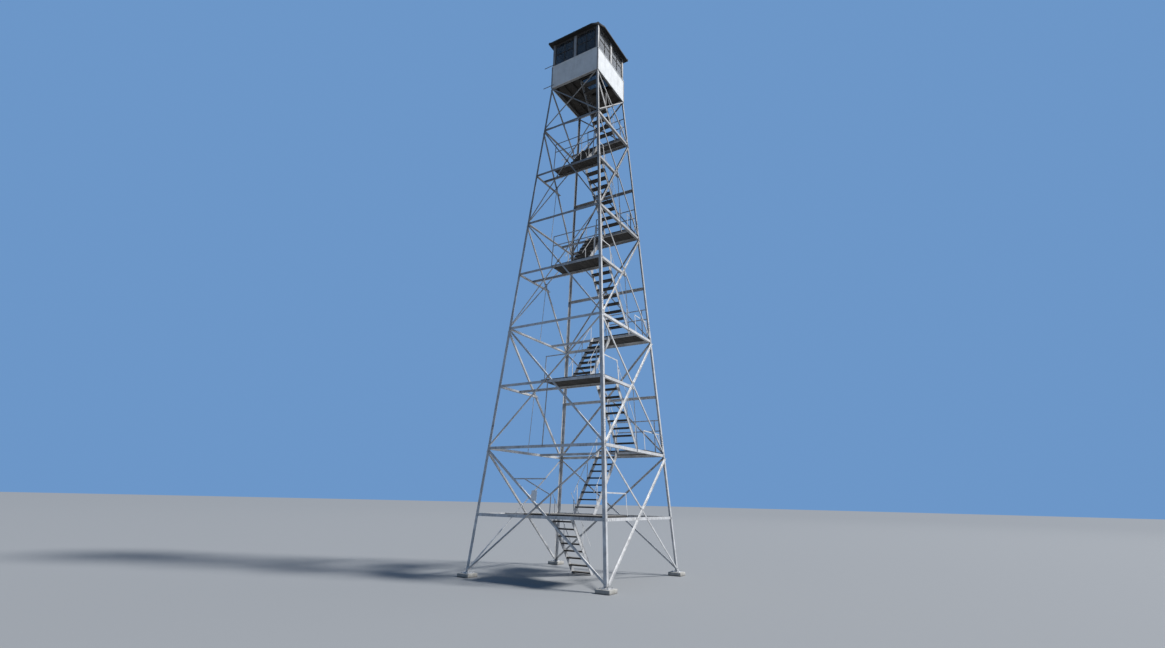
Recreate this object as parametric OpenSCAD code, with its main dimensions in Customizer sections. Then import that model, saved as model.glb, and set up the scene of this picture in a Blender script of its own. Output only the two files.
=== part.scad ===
// Steel fire lookout tower: four battered angle legs, crossed bracing, a stair that
// climbs back and forth between landings, and a small hip-roofed cab on top.
// Front is -Y, +Z is up, and the origin is at ground level on the tower's centre line.

/* [Tower] */
// Width over the legs at the ground
base_w = 4927; // [4300:1:5600]
// Width over the legs at the cab floor
top_w = 2134; // [2000:1:2400]
// Height of the first landing above the ground
first_h = 1907; // [1800:1:2057]
// Height from one landing to the next
level_h = 2057; // [1950:1:2200]
// Height from the last landing to the cab floor
top_rise = 2057; // [1900:1:2200]

/* [Legs] */
// Flange of the leg angles in the two lower sections
leg_low_w = 102; // [90:1:130]
// Flange of the leg angles in the third section
leg_mid_w = 89; // [80:1:110]
// Flange of the leg angles in the top section
leg_top_w = 76; // [70:1:95]
// Thickness of the leg angles
leg_t = 8; // [6:0.5:12]
// Length of the splice angles inside the leg joints
splice_l = 420; // [300:10:480]
// Height of a leg joint above its landing
splice_up = 450; // [380:10:520]
// Side of the concrete piers
pier_w = 440; // [350:1:600]
// Height of the concrete piers
pier_h = 110; // [60:1:200]
// Side of the steel base plates
plate_w = 300; // [240:1:340]
// Thickness of the steel base plates
plate_t = 12; // [8:1:20]

/* [Bracing] */
// Flange of the diagonals in the lower bays
brace_low_w = 57; // [45:1:64]
// Flange of the diagonals in the upper bays
brace_top_w = 44; // [38:1:57]
// Thickness of the diagonals
brace_t = 6; // [4:0.5:8]
// Height and shelf width of the horizontal girts
girt_w = 89; // [80:1:110]
// Thickness of the girts and joists
girt_t = 6; // [5:0.5:8]
// Flange width of the joists that carry the landings
joist_flange_w = 44; // [30:1:60]

/* [Stairs] */
// Distance of the front joists from the centre line
front_joist_y = 860; // [780:1:900]
// Distance of the back joists from the centre line
back_joist_y = 710; // [640:1:760]
// Width of a flight over its stringers
stair_w = 720; // [650:1:740]
// Gap between neighbouring flights
stair_gap = 40; // [25:1:60]
// Gap between the first flight and the second
first_gap = 100; // [40:1:140]
// Distance from the outside of the tower to the outer flight
side_gap = 165; // [150:1:200]
// Number of risers in a flight
risers = 9; // [8:1:10]
// Depth of a tread
tread_d = 190; // [160:1:230]
// Thickness of a tread
tread_t = 45; // [35:1:50]
// Depth of the stringers
stringer_d = 140; // [120:1:160]
// Thickness of the stringers
stringer_t = 6; // [5:0.5:8]
// Flange width of the stringers
stringer_flange_w = 16; // [10:1:18]
// Height of the stair handrails over the treads
handrail_h = 650; // [600:1:800]
// Width of the rail and post angles
rail_w = 38; // [30:1:50]
// Thickness of the rail and post angles
rail_t = 5; // [4:0.5:6]

/* [Landings] */
// Thickness of the landing planks
deck_t = 45; // [35:1:50]
// Distance that the planks of the front landings reach left of the centre line
deck_reach = 340; // [300:1:400]
// Height of the upper landing rail
top_rail_h = 1160; // [1000:1:1200]
// Height of the lower landing rail
mid_rail_h = 790; // [600:1:900]
// Height of the rail at the right end of a landing
side_rail_h = 650; // [550:1:800]
// Height of the level rail at the first landing
first_rail_h = 1025; // [900:1:1100]

/* [Cab] */
// Height of the cab walls
wall_h = 2044; // [1950:1:2200]
// Thickness of the cab walls
wall_t = 45; // [35:1:60]
// Distance of the lower wall sheets outside the corner posts
sheet_out = 20; // [18:1:30]
// Thickness of the sheets where they hang over the top girts
sheet_t = 12; // [6:1:12]
// Side of the cab's corner posts
post_w = 100; // [80:1:110]
// Height of the window sills above the foot of the wall
sill_h = 963; // [850:1:1050]
// Height of the wall strip over the windows
head_h = 24; // [20:1:100]
// Width of the post between two windows
centre_post_w = 110; // [80:1:130]
// Thickness of the cab floor boards
floor_t = 45; // [35:1:50]
// Width of the window sash frames
sash_w = 42; // [35:1:55]
// Thickness of the window sashes
sash_t = 32; // [28:1:34]
// Width of the glazing bars
bar_w = 18; // [15:1:25]
// Thickness of the window glass
glass_t = 4; // [3:0.5:6]
// Reach of the two steel arms beside the cab's left front corner
arm_l = 400; // [300:10:450]

/* [Roof] */
// Overhang of the eaves outside the walls
eave_w = 155; // [140:1:220]
// Length cut from each side of the eaves at the front right corner
clip_w = 410; // [350:1:450]
// Height of the eave's fascia
fascia_h = 55; // [40:1:80]
// Rise of the roof above the fascia
roof_rise = 560; // [450:1:700]
// Thickness of the roof
roof_t = 22; // [15:1:30]
// Thickness of the soffit boards
soffit_t = 18; // [12:1:25]

/* [Hidden] */

levels = 9;
top_z = first_h + (levels - 2) * level_h + top_rise;
lean = (base_w - top_w) / 2 / top_z;
batter = atan(lean);
foot_z = pier_h + plate_t;
girt_drop = deck_t + girt_w / 2;
stair_run = front_joist_y + back_joist_y;
stringer_up = 60;
cab_joist_w = 50;
deck_gap = 6;
deck_end = 60;
fit = 0.3;
mitre_gap = 2;
bar_end = 15;
end_reach = 45;
cross_plate_w = 120;
pack_plate_w = 90;
rail_end_gap = 30;
rail_post_in = 200;
single_rail_in = 130;
splice_edge = 16;
splice_gap = 0.3;
first_rail_x = [-1100, 200];
first_post_x = 400;
first_slope_x = -610;
first_post_h = 545;
hatch_gap = 30;
hatch_clear = 60;
pack_inset = 15;
joist_end = lean * girt_w + 0.3;
arm_z = [20, 1029];
arm_w = 38;
cab_half = top_w / 2;
room_half = cab_half - wall_t;
eave_half = cab_half + eave_w;
hatch_x = [half_at(top_z) - side_gap - stair_w - hatch_gap, half_at(top_z) - side_gap + hatch_gap];
hatch_y = [-front_joist_y, 150];
open_w = (top_w - 2 * post_w - centre_post_w) / 2;
open_h = wall_h - sill_h - head_h;
sash_in = (wall_t - sash_t) / 2;
steel = "#9aa0a1";
timber = "#5b4a3a";
paint = "#e4e6e4";
dark_paint = "#33312f";

function level_z(k) = k == 0 ? 0 : k == levels ? top_z : first_h + (k - 1) * level_h;
function rise(k) = k == levels ? top_rise : level_h;
function pitch(k) = rise(k) / stair_run;
function half_at(z) = base_w / 2 - lean * z;
function up_face(z) = z / cos(batter);
function half_up(v) = half_at(v * cos(batter));
function leg_w_at(k) = k < 4 ? leg_low_w : k < 6 ? leg_mid_w : leg_top_w;
function brace_w_at(k) = k < 4 ? brace_low_w : brace_top_w;
function odd(k) = k % 2 == 1;

// Height of the middle of the girts at a level, and where the diagonals end beside them
function girt_z(k) = k == levels ? top_z - girt_w / 2 : level_z(k) - girt_drop;
function bar_low_z(k) = k == 0 ? foot_z + 2 * end_reach : girt_z(k) + girt_w / 2 + end_reach;
function bar_high_z(k) = girt_z(k) - girt_w / 2 - end_reach;

// Right and left edges of a flight
function stair_right(k) = k == 1 ? stair_left(2) - first_gap
    : odd(k) ? half_at(level_z(k)) - side_gap : stair_left(k + 1) - stair_gap;
function stair_left(k) = stair_right(k) - stair_w;

// Left end of the planks on each landing
function deck_left(k) = odd(k) ? min(min(stair_left(k), stair_left(k + 1)) - deck_end, -deck_reach)
    : stair_left(k) - deck_end;
function deck_inset(k) = (leg_t + brace_w_at(k - 1) + deck_gap) / cos(batter);

// Places the children in a face of the tower: x along it, y up its slope, z outwards
module on_face(face)
    rotate([0, 0, 90 * face]) translate([0, -base_w / 2, 0]) rotate([90 - batter, 0, 0]) children();

// A bar along X with the given outline in Y and Z
module along_x(from_x, to_x)
    translate([from_x, 0, 0]) rotate([90, 0, 90]) linear_extrude(to_x - from_x) children();

// One flange of a leg, stepped where the lighter angles start
module leg_flange() {
    cuts = [foot_z, level_z(4) + splice_up, level_z(6) + splice_up, top_z];
    widths = [leg_low_w, leg_mid_w, leg_top_w];
    inner = [for (i = [2:-1:0]) for (z = [cuts[i + 1], cuts[i]])
        [half_at(z) - widths[i], up_face(z)]];
    outer = [for (z = [foot_z, top_z]) [half_at(z), up_face(z)]];
    translate([0, 0, -leg_t]) linear_extrude(leg_t) polygon(concat(outer, inner));
}

// A leg: two flanges that meet at the corner after the given face
module leg(face) color(steel) intersection() {
    union() {
        on_face(face) leg_flange();
        on_face(face + 1) mirror([1, 0, 0]) leg_flange();
    }
    translate([-base_w, -base_w, foot_z]) cube([2 * base_w, 2 * base_w, top_z - foot_z]);
}

// A splice angle inside a leg, across the joint above a landing
module splice_flange(k) {
    ends = [for (s = [-1, 1]) level_z(k) + splice_up + s * splice_l / 2];
    w = leg_w_at(k + 1) - splice_edge;
    translate([0, 0, -2 * leg_t - splice_gap]) linear_extrude(leg_t)
        polygon([for (p = [[0, 0], [1, 0], [1, 1], [0, 1]])
            [half_at(ends[p.y]) - (p.x == 0 ? leg_t + 2 * splice_gap : w), up_face(ends[p.y])]]);
}

module leg_splices() color(steel) for (k = [2, 4, 6]) for (face = [0:3]) {
    on_face(face) splice_flange(k);
    on_face(face + 1) mirror([1, 0, 0]) splice_flange(k);
}

module at_corners() for (i = [0:3]) rotate([0, 0, 90 * i])
    translate([half_at(0) - leg_low_w / 2, -half_at(0) + leg_low_w / 2, 0]) children();

module piers() color("#b7b2a8") at_corners()
    translate([-pier_w / 2, -pier_w / 2, 0]) cube([pier_w, pier_w, pier_h]);

module base_plates() color("#7d7f7c") at_corners()
    translate([-plate_w / 2, -plate_w / 2, pier_h]) cube([plate_w, plate_w, plate_t]);

// An angle bar between two points of a face, lying on z = 0
module angle_bar(p, q, w) {
    run = q - p;
    translate([p.x, p.y, 0]) rotate([0, 0, atan2(run.y, run.x)])
        translate([-bar_end, -w / 2, 0]) {
            cube([norm(run) + 2 * bar_end, w, brace_t]);
            cube([norm(run) + 2 * bar_end, brace_t, w]);
        }
}

// Bays of bracing, each from one level to another
bays = [[0, 2], [2, 4], [4, 6], [6, 8], [8, 9]];
function bay_end(z, k) = [half_at(z) - leg_w_at(k) / 2 - leg_t, up_face(z)];

module diagonal(bay, side) {
    low = bay_end(bar_low_z(bay[0]), bay[0]);
    high = bay_end(bar_high_z(bay[1]), bay[1] - 1);
    angle_bar([-side * low.x, low.y], [side * high.x, high.y], brace_w_at(bay[0]));
}

// Crossed diagonals of a face: one set outside the leg flanges, the other inside,
// coped where the girts of the odd levels pass
module bracing(face) color(steel) on_face(face) {
    for (bay = bays) diagonal(bay, 1);
    difference() {
        translate([0, 0, -leg_t]) mirror([0, 0, 1]) for (bay = bays) diagonal(bay, -1);
        for (k = [1:2:7]) translate([-base_w / 2, up_face(girt_z(k)) - girt_w / 2 - deck_gap,
            -leg_t - brace_t - 2 * brace_low_w + fit])
            cube([base_w, girt_w + 2 * deck_gap, 2 * brace_low_w]);
    }
}

// Height at which the diagonals of a bay cross
function cross_v(bay) = let (low = bay_end(bar_low_z(bay[0]), bay[0]),
    high = bay_end(bar_high_z(bay[1]), bay[1] - 1))
    low.y + (high.y - low.y) * low.x / (low.x + high.x);

module crossing_plates() color(steel) for (face = [0:3]) on_face(face) for (bay = bays)
    translate([-cross_plate_w / 2, cross_v(bay) - cross_plate_w / 2, -leg_t])
        cube([cross_plate_w, cross_plate_w, leg_t]);

// Outlines of a girt in the front face, with its shelf at the top or at the bottom
function girt_y(z, depth) = -half_at(z) + depth / cos(batter);
module girt_outline(k, depth, shelf_up) {
    low = girt_z(k) - girt_w / 2;
    high = girt_z(k) + girt_w / 2;
    shelf = shelf_up ? high - girt_t : low;
    polygon([[girt_y(low, depth), low], [girt_y(high, depth), high],
        [girt_y(high, depth + girt_t), high], [girt_y(low, depth + girt_t), low]]);
    polygon([[girt_y(shelf, depth + girt_t / 2), shelf],
        [girt_y(shelf, depth) + girt_w, shelf],
        [girt_y(shelf, depth) + girt_w, shelf + girt_t],
        [girt_y(shelf, depth + girt_t / 2), shelf + girt_t]]);
}

// The girts of the odd levels lie inside the inner diagonals, on packing plates
function girt_depth(k) = odd(k) && k < levels ? leg_t + brace_t : leg_t;
function girt_end(k) = half_at(girt_z(k) + girt_w / 2) - leg_t - 12;
module packing_plate(k, x, w, from, to) translate([0, 0, -to])
    translate([x - w / 2, up_face(girt_z(k)) - girt_w / 2 + 6, 0]) cube([w, girt_w - 12, to - from]);

// Where a diagonal passes the girt of an odd level
function cross_x(k) = let (bay = [k - 1, k + 1], low = bay_end(bar_low_z(bay[0]), bay[0]),
    high = bay_end(bar_high_z(bay[1]), bay[1] - 1),
    share = (up_face(girt_z(k)) - low.y) / (high.y - low.y))
    low.x - share * (low.x + high.x);

// A girt from one end to the other of the face, or only as far as the diagonal
// past the crossing: reach is -1 for the left part, 1 for the right part, 0 for all
module girt(face, k, shelf_up, reach) {
    stop = girt_end(k);
    far = cross_x(k) + pack_plate_w / 2;
    rotate([0, 0, 90 * face])
        along_x(reach == 1 ? -far : -stop, reach == -1 ? far : stop)
            girt_outline(k, girt_depth(k), shelf_up);
    if (girt_depth(k) > leg_t) on_face(face) {
        for (s = [-1, 1]) if (reach == 0 || reach == s)
            packing_plate(k, s * (stop - leg_low_w / 2), leg_w_at(k) - 2 * pack_inset, leg_t, leg_t + brace_t + fit);
        packing_plate(k, -cross_x(k), pack_plate_w - 2 * pack_inset, fit, leg_t + brace_t + fit);
    }
}

module girts(face) color(steel) {
    ledger = odd(face);
    for (k = [1:levels]) girt(face, k, k < levels ? !ledger : ledger,
        ledger && odd(k) && k > 1 && k < levels ? (face == 1 ? -1 : 1) : 0);
}

// Joists across the tower that carry the landings and the ends of the flights
function joist_y(k) = odd(k) ? -front_joist_y : back_joist_y;
module landing_joists() color(steel) for (k = [1:levels - 1]) {
    side = odd(k) ? -1 : 1;
    low = girt_z(k) - girt_w / 2 + girt_t;
    h = girt_w - girt_t;
    end_x = half_at(low) - (girt_depth(k) + girt_t) / cos(batter) - joist_end;
    along_x(-end_x, end_x) for (part = [[girt_t, h, 0], [joist_flange_w, girt_t, 0],
        [joist_flange_w, girt_t, h - girt_t]])
        translate([joist_y(k) + (side > 0 ? 0 : -part[0]), low + part[2]]) square([part[0], part[1]]);
}

module landing(k) {
    inset = half_at(level_z(k)) - deck_inset(k);
    depth = inset - (odd(k) ? front_joist_y : back_joist_y);
    translate([deck_left(k), odd(k) ? -inset : back_joist_y, level_z(k) - deck_t])
        cube([inset - deck_left(k), depth, deck_t]);
}

module front_landings() color(timber) for (k = [1:2:7]) landing(k);
module back_landings() color(timber) for (k = [2:2:8]) landing(k);

// Rails of a landing, parallel to the face, inside the inner diagonals
rail_layer = leg_t + brace_low_w;
module level_rail(k, from_x, to_x, h) translate([from_x, up_face(level_z(k) + h) - rail_w, -rail_layer - rail_t])
    cube([to_x - from_x, rail_w, rail_t]);
module rail_post(k, x, h) translate([x, up_face(level_z(k)), -rail_layer - 2 * rail_t])
    cube([rail_w, up_face(h), rail_t]);
module landing_rail(face, k, from_x, to_x, heights, posts) on_face(face) {
    for (h = heights) level_rail(k, from_x, to_x, h);
    for (x = posts) rail_post(k, x, max(heights));
}

// The first landing has a level rail, and a bar that slopes from it to a short post
module first_rail() on_face(0) {
    top = up_face(level_z(1) + first_rail_h);
    low = up_face(level_z(1) + first_post_h);
    level_rail(1, first_rail_x[0], first_rail_x[1], first_rail_h);
    rail_post(1, first_post_x, first_post_h);
    translate([0, 0, -rail_layer - rail_t]) linear_extrude(rail_t)
        polygon([[first_slope_x, top], [first_post_x + rail_w, low],
            [first_post_x + rail_w, low - rail_w], [first_slope_x, top - rail_w]]);
}

function rail_stop(k) = half_at(level_z(k) + top_rail_h) - leg_t - rail_end_gap;
module front_rails() color(steel) {
    first_rail();
    left = deck_left(3) + single_rail_in;
    landing_rail(0, 3, left, rail_stop(3), [mid_rail_h], [left, rail_stop(3) - rail_post_in]);
    for (k = [5, 7]) landing_rail(0, k, deck_left(k), rail_stop(k), [mid_rail_h, top_rail_h],
        [deck_left(k), rail_stop(k) - rail_post_in]);
}

module back_rails() color(steel) for (k = [2:2:8])
    landing_rail(2, k, -rail_stop(k), -deck_left(k), [mid_rail_h, top_rail_h],
        [-rail_stop(k) + rail_post_in - rail_w, -deck_left(k) - rail_w]);

// Rails at the right end of the landings
module side_rails() color(steel) for (k = [1:levels - 1])
    if (odd(k)) landing_rail(1, k, -rail_stop(k) + 2 * rail_end_gap, -front_joist_y, [side_rail_h],
        [-rail_stop(k) + 2 * rail_end_gap, -front_joist_y - rail_w]);
    else landing_rail(1, k, back_joist_y, rail_stop(k) - 2 * rail_end_gap, [side_rail_h],
        [back_joist_y, rail_stop(k) - 2 * rail_end_gap - rail_w]);

// Places a flight's side view: x runs up along it from its foot, y is height
module flight_view(k, x) {
    side = odd(k) ? -1 : 1;
    translate([x, 0, 0]) mirror([0, odd(k) ? 1 : 0, 0])
        translate([0, odd(k) ? -back_joist_y : -front_joist_y, level_z(k) - rise(k)]) rotate([90, 0, 90]) children();
}

// Side view of a strip of a stringer, between two heights above its pitch line, cut
// level at the landing above and at the foot of the joist or the ground below
function strip_foot(k) = k == 1 ? level_h - first_h : -girt_drop - girt_w / 2;
function strip_start(k, up, foot) = up > foot ? [0, up] : [(foot - up) / pitch(k), foot];
function strip_end(k, up) = up > 0 ? [stair_run - up / pitch(k), rise(k)] : [stair_run, rise(k) + up];
module stringer_strip(k, low, high) {
    foot = strip_foot(k);
    polygon(concat([strip_start(k, high, foot), strip_end(k, high)],
        high > 0 && low < 0 ? [[stair_run, rise(k)]] : [],
        [strip_end(k, low), strip_start(k, low, foot)],
        high > foot && low < foot ? [[0, foot]] : []));
}

module stringer(k, x, out) {
    slant = sqrt(1 + pitch(k) * pitch(k));
    low = stringer_up - stringer_d * slant;
    thin = stringer_t * slant;
    flange_x = out > 0 ? x : x - stringer_flange_w + stringer_t;
    flight_view(k, x) linear_extrude(stringer_t) stringer_strip(k, low, stringer_up);
    flight_view(k, flange_x) linear_extrude(stringer_flange_w) {
        stringer_strip(k, stringer_up - thin, stringer_up);
        stringer_strip(k, low, low + thin);
    }
}

module stringers() color(steel) for (k = [1:levels]) {
    stringer(k, stair_left(k), -1);
    stringer(k, stair_right(k) - stringer_t, 1);
}

module treads(k) color(timber) for (i = [1:risers - 1]) {
    up = i * rise(k) / risers;
    if (level_z(k) - rise(k) + up - tread_t > 0)
        flight_view(k, stair_left(k) + stringer_t) translate([up / pitch(k) - tread_d / 2, up - tread_t, 0])
            cube([tread_d, tread_t, stair_w - 2 * stringer_t]);
}

// Handrails on both sides of a flight, on posts bolted outside the stringers
module handrail(k, x) {
    post_x = [0.12, 0.5, 0.88];
    stop = k == levels ? 1 - (handrail_h + hatch_clear) / rise(k) : 1;
    start = k == 1 ? 0.2 : 0;
    flight_view(k, x) {
        linear_extrude(rail_t) polygon([for (p = [[start, 0], [stop, 0], [stop, -rail_w], [start, -rail_w]])
            [p[0] * stair_run, p[0] * rise(k) + handrail_h + p[1]]]);
        for (s = post_x) if (s > start && s < stop) translate([s * stair_run, s * rise(k) - stringer_d / 2, 0])
            cube([rail_w, handrail_h + stringer_d / 2 - rail_w / 2, rail_t]);
    }
}

module handrails() color(steel) for (k = [1:levels]) {
    handrail(k, stair_left(k) - rail_t);
    handrail(k, stair_right(k));
}

module cab_floor() color(timber) translate([0, 0, top_z]) difference() {
    translate([-room_half + fit, -room_half + fit, 0])
        cube([2 * room_half - 2 * fit, 2 * room_half - 2 * fit, floor_t]);
    translate([hatch_x[0], hatch_y[0], -1])
        cube([hatch_x[1] - hatch_x[0], hatch_y[1] - hatch_y[0], floor_t + 2]);
}

// Joists of the cab floor, on the ledger flanges of the top girts, trimmed round the hatch
module cab_joists() color(timber) {
    low = girt_z(levels) - girt_w / 2 + girt_t;
    h = top_z - low;
    end = half_at(low) - (leg_t + girt_t) / cos(batter) - joist_end;
    ledge = half_at(top_z) - leg_t / cos(batter) - girt_w - fit;
    last = hatch_x[0] - cab_joist_w;
    for (i = [0:3]) translate([-ledge + i * (last + ledge) / 3, -end, low])
        cube([cab_joist_w, 2 * end, h]);
    for (y = [hatch_y[0] - cab_joist_w, hatch_y[1]]) translate([hatch_x[0] + 1, y, low]) {
        cube([ledge - hatch_x[0] - 1, cab_joist_w, h]);
        cube([end - hatch_x[0] - 1, cab_joist_w, h - girt_t - fit]);
    }
}

// Opening of the window on the given side of a wall's centre post
module window_box(side, inset, from_y, depth)
    translate([side > 0 ? centre_post_w / 2 + inset : -centre_post_w / 2 - open_w + inset, from_y, sill_h + inset])
        cube([open_w - 2 * inset, depth, open_h - 2 * inset]);

module on_wall(face) rotate([0, 0, 90 * face]) translate([0, -cab_half, top_z]) children();

// Plan of a wall between two depths, mitred at its ends
module wall_plan(h, out, in) linear_extrude(h)
    polygon([for (p = [[-1, out], [1, out], [1, in], [-1, in]]) [p.x * (cab_half - fit - p.y), p.y]]);

// A wall: closed below the windows, where it hangs over the girt, and framed above
module cab_wall(face) color(paint) on_wall(face) difference() {
    union() {
        wall_plan(sill_h, -sheet_out, wall_t);
        translate([0, 0, -girt_w]) wall_plan(girt_w + 1, -sheet_out, sheet_t - sheet_out);
        translate([-cab_half + post_w, 0, sill_h - 1]) cube([top_w - 2 * post_w, wall_t, wall_h - sill_h + 1]);
    }
    for (side = [-1, 1]) window_box(side, 0, -1, wall_t + 2);
}

module corner_posts() color(steel) for (face = [0:3]) on_wall(face)
    translate([cab_half - post_w, 0, sill_h]) cube([post_w, post_w, wall_h - sill_h]);

module sash(side) {
    bar_d = (sash_t - glass_t) / 2;
    difference() {
        window_box(side, fit, sash_in, sash_t);
        window_box(side, sash_w, sash_in - 1, sash_t + 2);
    }
    centre_x = side * (centre_post_w + open_w) / 2;
    translate([centre_x - bar_w / 2, sash_in, sill_h + sash_w])
        cube([bar_w, bar_d, open_h - 2 * sash_w]);
    translate([centre_x - open_w / 2 + sash_w, sash_in, sill_h + (open_h - bar_w) / 2])
        cube([open_w - 2 * sash_w, bar_d, bar_w]);
}

module window_sashes() color(dark_paint) for (face = [0:3]) on_wall(face)
    for (side = [-1, 1]) sash(side);

module window_glass() color("#5c7480", 0.5) for (face = [0:3]) on_wall(face)
    for (side = [-1, 1]) window_box(side, sash_w, sash_in + (sash_t - glass_t) / 2, glass_t);

// Two flat steel arms that reach out to the left from the cab's front wall
module cab_arms() color(steel) for (z = arm_z)
    translate([-cab_half - arm_l, -cab_half - rail_t - (z < sill_h ? sheet_out : 0), top_z + z])
        cube([arm_l + post_w, rail_t, arm_w]);

// Plan of the eaves, cut back to the post at the front right corner
module eave_plan(half, h) linear_extrude(h)
    polygon([[-half, -half], [half - clip_w, -half], [half - eave_w, -half + eave_w],
        [half, -half + clip_w], [half, half], [-half, half]]);

// A hipped body: the height of its sides, and the rise to its peak
module hip_body(half, side_h, rise) intersection_for(turn = [0, 90]) rotate([0, 0, turn])
    translate([0, half, 0]) rotate([90, 0, 0]) linear_extrude(2 * half)
        polygon([[-half, 0], [half, 0], [half, side_h], [0, side_h + rise], [-half, side_h]]);

// Soffit boards on the wall heads, mitred at the corners
module soffit() color(dark_paint) translate([0, 0, top_z + wall_h]) difference() {
    eave_plan(eave_half - roof_t - fit, soffit_t);
    translate([-room_half, -room_half, -1]) cube([2 * room_half, 2 * room_half, soffit_t + 2]);
    for (turn = [45, 135]) rotate([0, 0, turn])
        translate([-2 * eave_half, -mitre_gap / 2, -1]) cube([4 * eave_half, mitre_gap, soffit_t + 2]);
}

module roof() color("#2e3133") translate([0, 0, top_z + wall_h]) difference() {
    intersection() {
        eave_plan(eave_half, fascia_h + roof_rise);
        hip_body(eave_half, fascia_h, roof_rise);
    }
    intersection() {
        translate([0, 0, -1]) eave_plan(eave_half - roof_t, fascia_h + roof_rise);
        translate([0, 0, -roof_t]) hip_body(eave_half, fascia_h, roof_rise);
    }
}

leg(3);  // leg_front_left
leg(0);  // leg_front_right
leg(1);  // leg_back_right
leg(2);  // leg_back_left
leg_splices();
piers();
base_plates();
bracing(0);  // bracing_front
bracing(1);  // bracing_right
bracing(2);  // bracing_back
bracing(3);  // bracing_left
crossing_plates();
girts(0);  // girts_front
girts(1);  // girts_right
girts(2);  // girts_back
girts(3);  // girts_left
landing_joists();
front_landings();
back_landings();
front_rails();
back_rails();
side_rails();
stringers();
treads(1);  // treads_1
treads(2);  // treads_2
treads(3);  // treads_3
treads(4);  // treads_4
treads(5);  // treads_5
treads(6);  // treads_6
treads(7);  // treads_7
treads(8);  // treads_8
treads(9);  // treads_9
handrails();
cab_floor();
cab_joists();
cab_wall(0);  // cab_wall_front
cab_wall(1);  // cab_wall_right
cab_wall(2);  // cab_wall_back
cab_wall(3);  // cab_wall_left
corner_posts();
window_sashes();
window_glass();
cab_arms();
soffit();
roof();
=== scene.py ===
import random
from math import atan, atan2, cos, hypot, pi, radians, sin, sqrt, tan

import bpy
from mathutils import Matrix, Vector


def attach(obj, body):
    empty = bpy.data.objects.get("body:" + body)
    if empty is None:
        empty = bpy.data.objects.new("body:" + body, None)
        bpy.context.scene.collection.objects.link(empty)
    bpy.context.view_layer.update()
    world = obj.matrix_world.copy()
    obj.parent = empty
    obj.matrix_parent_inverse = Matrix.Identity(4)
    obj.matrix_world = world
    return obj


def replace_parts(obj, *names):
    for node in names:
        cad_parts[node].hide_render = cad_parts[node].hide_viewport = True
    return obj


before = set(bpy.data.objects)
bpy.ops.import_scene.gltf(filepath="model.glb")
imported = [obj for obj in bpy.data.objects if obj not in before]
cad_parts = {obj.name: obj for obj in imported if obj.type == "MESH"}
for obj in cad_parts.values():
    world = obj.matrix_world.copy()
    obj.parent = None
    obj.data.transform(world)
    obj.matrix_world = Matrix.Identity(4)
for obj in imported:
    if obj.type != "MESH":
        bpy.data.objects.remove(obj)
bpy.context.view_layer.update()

# Camera, floor and light
# The camera stands a little over head height to the front and right of the tower and looks up at
# it. The floor is pale and plain. The light is soft, with its brighter side at the back right, where a
# wide panel shows in the glass, and the backdrop is brighter than what it sheds on the tower.

bpy.context.scene.view_settings.view_transform = "Standard"

eye = Vector((9.92974, -16.04925, 2.28119))
turn, climb, roll = radians(31.70097), radians(16.24280), radians(1.36052)
ahead = Vector((-sin(turn) * cos(climb), cos(turn) * cos(climb), sin(climb)))
level_right = Vector((cos(turn), sin(turn), 0))
level_up = level_right.cross(ahead)
right = level_right * cos(roll) + level_up * sin(roll)
up = level_up * cos(roll) - level_right * sin(roll)

camera_data = bpy.data.cameras.new("camera")
camera_data.sensor_width = 36
camera_data.lens = 36 * 550.5674 / 1165
camera_data.shift_y = 17.0075 / 1165
camera_data.clip_end = 500
camera = bpy.data.objects.new("camera", camera_data)
bpy.context.scene.collection.objects.link(camera)
camera.matrix_world = Matrix.Translation(eye) @ Matrix((right, up, -ahead)).transposed().to_4x4()
bpy.context.scene.camera = camera

bpy.ops.object.select_all(action="DESELECT")
bpy.ops.mesh.primitive_circle_add(vertices=96, radius=450, fill_type="NGON", location=(0, 0, -0.002))
floor = bpy.context.object
floor.name = "floor"
floor_finish = bpy.data.materials.new("pale_floor")
floor_finish.use_nodes = True
floor_look = floor_finish.node_tree.nodes["Principled BSDF"].inputs
floor_look["Base Color"].default_value = (0.255, 0.260, 0.262, 1)
floor_look["Roughness"].default_value = 0.9
floor.data.materials.append(floor_finish)

world = bpy.data.worlds.new("soft_light")
world.use_nodes = True
soft_light = world.node_tree.nodes["Background"]
soft_light.inputs["Color"].default_value = (0.26, 0.53, 1.0, 1)
backdrop = world.node_tree.nodes.new("ShaderNodeMapRange")
backdrop.inputs["To Min"].default_value = 0.29
backdrop.inputs["To Max"].default_value = 0.58
seen = world.node_tree.nodes.new("ShaderNodeLightPath")
world.node_tree.links.new(seen.outputs["Is Camera Ray"], backdrop.inputs["Value"])
world.node_tree.links.new(backdrop.outputs["Result"], soft_light.inputs["Strength"])
bpy.context.scene.world = world

lamp_data = bpy.data.lights.new("key_light", "SUN")
lamp_data.energy = 5.0
lamp_data.angle = radians(9)
lamp = bpy.data.objects.new("key_light", lamp_data)
lamp.rotation_euler = Vector((0.86, 0.36, 1.05)).to_track_quat("Z", "Y").to_euler()
bpy.context.scene.collection.objects.link(lamp)

panel_data = bpy.data.lights.new("soft_panel", "AREA")
panel_data.shape = "DISK"
panel_data.size = 60
panel_data.energy = 10000
panel = bpy.data.objects.new("soft_panel", panel_data)
toward = Vector((0.350, 0.633, 0.690))
panel.location = Vector((0, 0, 19.5)) + toward * 80
panel.rotation_euler = toward.to_track_quat("Z", "Y").to_euler()
panel.visible_camera = False
bpy.context.scene.collection.objects.link(panel)

# Piers
# Four square concrete blocks cast in the ground, one under each leg, with chamfered top edges. The
# concrete has weathered to a blotchy grey, with small pits and a darker band where rain splashes.


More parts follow.
